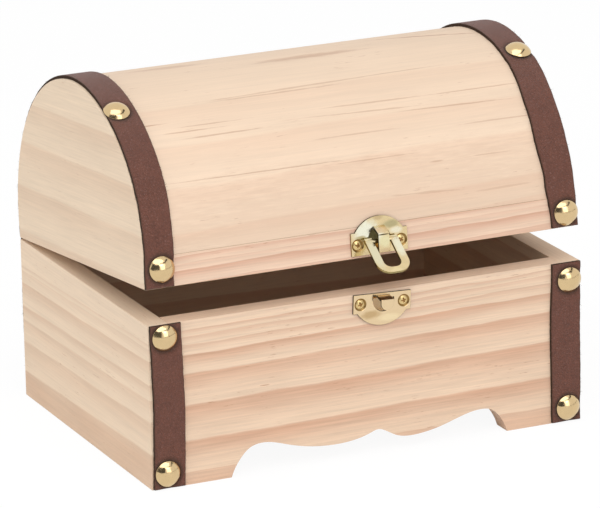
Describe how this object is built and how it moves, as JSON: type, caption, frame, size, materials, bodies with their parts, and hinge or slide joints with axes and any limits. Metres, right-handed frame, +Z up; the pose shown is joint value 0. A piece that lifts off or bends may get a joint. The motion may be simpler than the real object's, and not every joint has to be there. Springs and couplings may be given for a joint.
{
  "type": "keepsake chest",
  "caption": "Small domed keepsake chest of pine boards, with leather straps, dome nails, a hinged lid and a swinging snap-latch loop.",
  "frame": {"origin": "middle of the whole footprint on the floor, with the lid ajar and the latch loop swung out; the box's own middle is 4.6 mm behind it", "axes": "+X along the front to the right as seen from the front, +Y from front to back, +Z up"},
  "size_m": [0.168, 0.1383, 0.1338],
  "materials": {
    "pine": "unfinished, sanded",
    "pine_skin": "unfinished, sanded",
    "plywood": "unfinished",
    "strap_leather": "fine grained, low sheen",
    "brass": "polished, plated"
  },
  "bodies": {
    "box": {"back_board": "pine", "body_nails_back_left": "brass", "body_nails_back_right": "brass", "body_nails_front_left": "brass", "body_nails_front_right": "brass", "body_strap_back_left": "strap_leather", "body_strap_back_right": "strap_leather", "body_strap_front_left": "strap_leather", "body_strap_front_right": "strap_leather", "bottom_panel": "plywood", "catch_plate": "brass", "catch_screws": "brass", "front_board": "pine", "hinge_lower_leaf_left": "brass", "hinge_lower_leaf_right": "brass", "hinge_lower_screws": "brass", "hinge_pin_left": "brass", "hinge_pin_right": "brass", "left_side_board": "pine", "right_side_board": "pine"},
    "lid": {"hinge_upper_leaf_left": "brass", "hinge_upper_leaf_right": "brass", "hinge_upper_screws": "brass", "latch_plate": "brass", "latch_plate_screws": "brass", "lid_back_rail": "pine", "lid_front_rail": "pine", "lid_left_end": "pine", "lid_nails_left": "brass", "lid_nails_right": "brass", "lid_right_end": "pine", "lid_strap_left": "strap_leather", "lid_strap_right": "strap_leather", "lid_top_skin": "pine_skin"},
    "loop": {"latch_loop": "brass"}
  },
  "joints": [
    {"name": "lid_hinge", "type": "hinge", "parent": "box", "child": "lid", "pos_m": [0, 0.0661, 0.06015], "axis": [-1, 0, 0], "range_deg": [-5.9, 119.1]},
    {"name": "loop_swing", "type": "hinge", "parent": "lid", "child": "loop", "pos_m": [0.0051, -0.05664, 0.07877], "axis": [-1, 0, 0], "range_deg": [-50.6, 117.4]}
  ]
}
